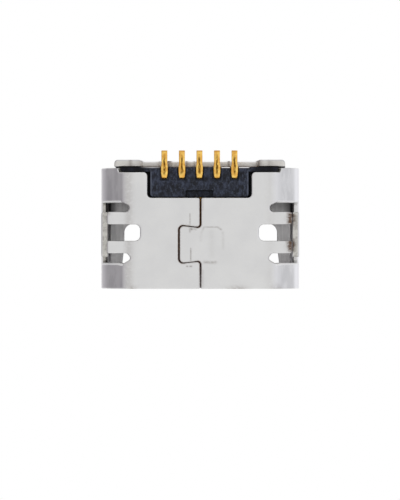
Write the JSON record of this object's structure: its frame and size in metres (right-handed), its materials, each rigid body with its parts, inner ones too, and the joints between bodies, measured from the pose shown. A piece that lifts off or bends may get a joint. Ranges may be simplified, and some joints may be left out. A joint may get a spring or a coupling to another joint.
{
  "type": "charging port connector",
  "caption": "Surface-mount charging port: a folded sheet-metal shell with a bevelled mouth round a black insulator tongue that carries a row of gold-plated contacts.",
  "frame": {"origin": "Middle of the mouth's rim, on the plane of the circuit board that the part is soldered to.", "axes": "+X across the mouth, +Y from the mouth to the rear, +Z away from the board; the mouth faces -Y."},
  "size_m": [0.0074, 0.0051, 0.0023],
  "materials": {
    "shell_metal": "satin tin-plated sheet",
    "insulator_plastic": "moulded, satin black",
    "contact_plating": "gold-plated copper alloy strip"
  },
  "bodies": {
    "root": {"shell": "shell_metal", "insulator": "insulator_plastic", "contact_1": "contact_plating", "contact_2": "contact_plating", "contact_3": "contact_plating", "contact_4": "contact_plating", "contact_5": "contact_plating"}
  },
  "joints": []
}
